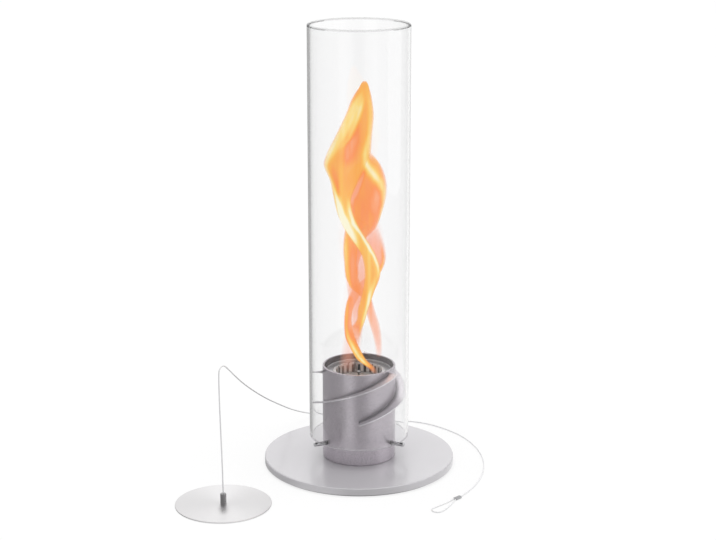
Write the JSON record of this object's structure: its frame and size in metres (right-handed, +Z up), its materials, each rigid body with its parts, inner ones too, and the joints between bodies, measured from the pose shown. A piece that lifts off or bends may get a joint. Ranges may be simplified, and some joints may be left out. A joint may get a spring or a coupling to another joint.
{
  "type": "tabletop fireplace",
  "caption": "Tabletop ethanol fireplace: a round foot plate, a burner housing with swirl vanes, an open glass cylinder on pins, and a snuffer disc on a cable.",
  "frame": {"origin": "on the table, under the middle of the foot plate", "axes": "+Z up along the glass, -Y to the front of the picture, +X to its right"},
  "size_m": [0.3647, 0.3531, 0.535],
  "materials": {
    "pad_rubber": "matt non-slip rubber",
    "plate_lacquer": "satin light-grey lacquer on steel",
    "zinc_steel": "plain zinc plate",
    "cast_housing": "satin metallic grey lacquer on cast aluminium",
    "pin_steel": "turned bright steel",
    "clear_glass": "clear heat-proof glass",
    "can_steel": "rolled tinplate",
    "ring_steel": "stainless sheet",
    "wick_wool": "heat-proof wool",
    "wick_mesh": "fine woven wire",
    "knob_steel": "turned steel",
    "disc_steel": "brushed stainless sheet",
    "ferrule_steel": "turned steel, darker",
    "cable_steel": "stranded steel wire rope",
    "crimp_metal": "pressed aluminium sleeve"
  },
  "bodies": {
    "base": {"base_pad": "pad_rubber", "base_plate": "plate_lacquer", "base_screws": "zinc_steel", "burner_housing": "cast_housing", "glass_pin_left": "pin_steel", "glass_pin_right": "pin_steel", "glass_pin_rear": "pin_steel"},
    "glass": {"glass_cylinder": "clear_glass"},
    "fuel_can": {"can_body": "can_steel", "can_lid": "can_steel", "flame_ring": "ring_steel", "wick_wool": "wick_wool", "wick_mesh": "wick_mesh", "lifting_knob": "knob_steel", "knob_nut": "zinc_steel"},
    "snuffer": {"snuffer_disc": "disc_steel", "cable_ferrule": "ferrule_steel", "ferrule_screw": "zinc_steel", "snuffer_cable": "cable_steel", "loop_crimp": "crimp_metal", "cable_loop": "cable_steel"}
  },
  "joints": [
    {"name": "glass_lift", "type": "slide", "parent": "base", "child": "glass", "axis": [0, 0, 1], "range_m": [0, 0.12]},
    {"name": "can_lift", "type": "slide", "parent": "base", "child": "fuel_can", "axis": [0, 0, 1], "range_m": [0, 0.12]},
    {"name": "snuffer_lift", "type": "slide", "parent": "base", "child": "snuffer", "axis": [0, 0, 1], "range_m": [0, 0.56]}
  ]
}
